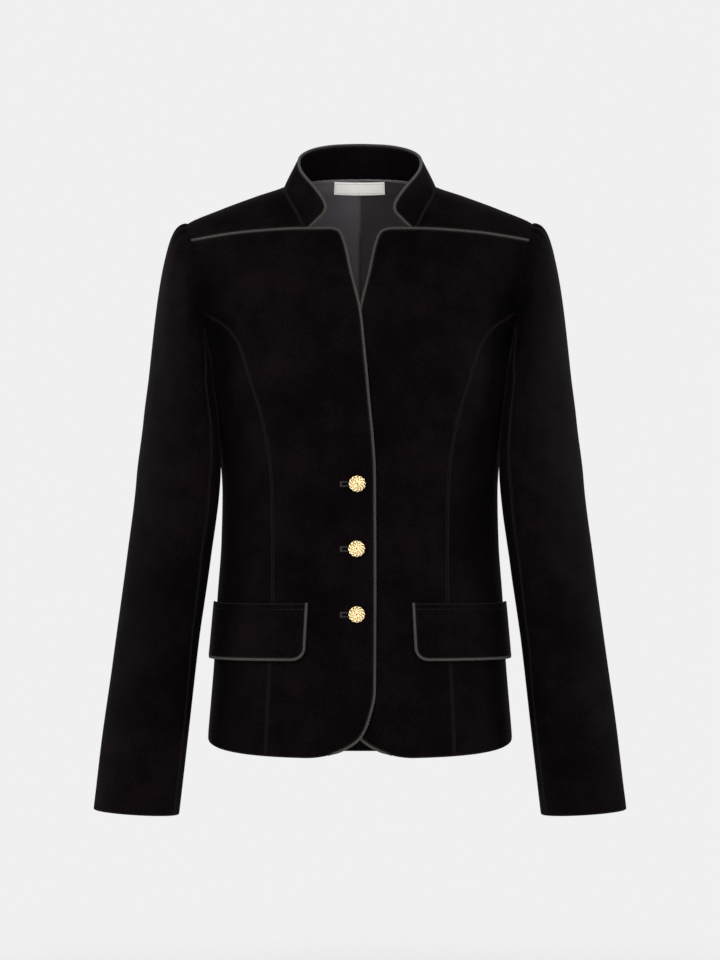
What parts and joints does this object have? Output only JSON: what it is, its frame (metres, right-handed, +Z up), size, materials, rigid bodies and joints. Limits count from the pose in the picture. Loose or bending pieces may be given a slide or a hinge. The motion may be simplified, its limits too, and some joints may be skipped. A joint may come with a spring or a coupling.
{
  "type": "stand collar blazer",
  "caption": "Fitted stand collar blazer in dark velvet with cord piping, flap pockets and gilt knot buttons, filled out as worn and hollow inside.",
  "frame": {"origin": "level with the neck points of the shoulders, on the middle line, midway between front and back, where the wearer's shoulders carry it", "axes": "+Z up, -Y out of the front, +X towards the wearer's left sleeve"},
  "size_m": [0.5676, 0.2373, 0.7261],
  "materials": {
    "velvet": "cotton velvet, near black, short pile",
    "piping": "twisted cord piping, dark olive grey",
    "lining": "dark grey satin lining",
    "label": "blank off-white woven label",
    "button": "polished gilt metal"
  },
  "bodies": {
    "root": {"front_right": "velvet", "front_left": "velvet", "side_front_right": "velvet", "side_front_left": "velvet", "yoke_right": "velvet", "yoke_left": "velvet", "back_right": "velvet", "back_left": "velvet", "sleeve_top_right": "velvet", "sleeve_top_left": "velvet", "sleeve_under_right": "velvet", "sleeve_under_left": "velvet", "flap_right": "velvet", "flap_left": "velvet", "collar": "velvet", "piping_front_right": "piping", "piping_front_left": "piping", "piping_flap_right": "piping", "piping_flap_left": "piping", "piping_collar": "piping", "lining_back": "lining", "label": "label", "button_1": "button", "button_2": "button", "button_3": "button"}
  },
  "joints": []
}
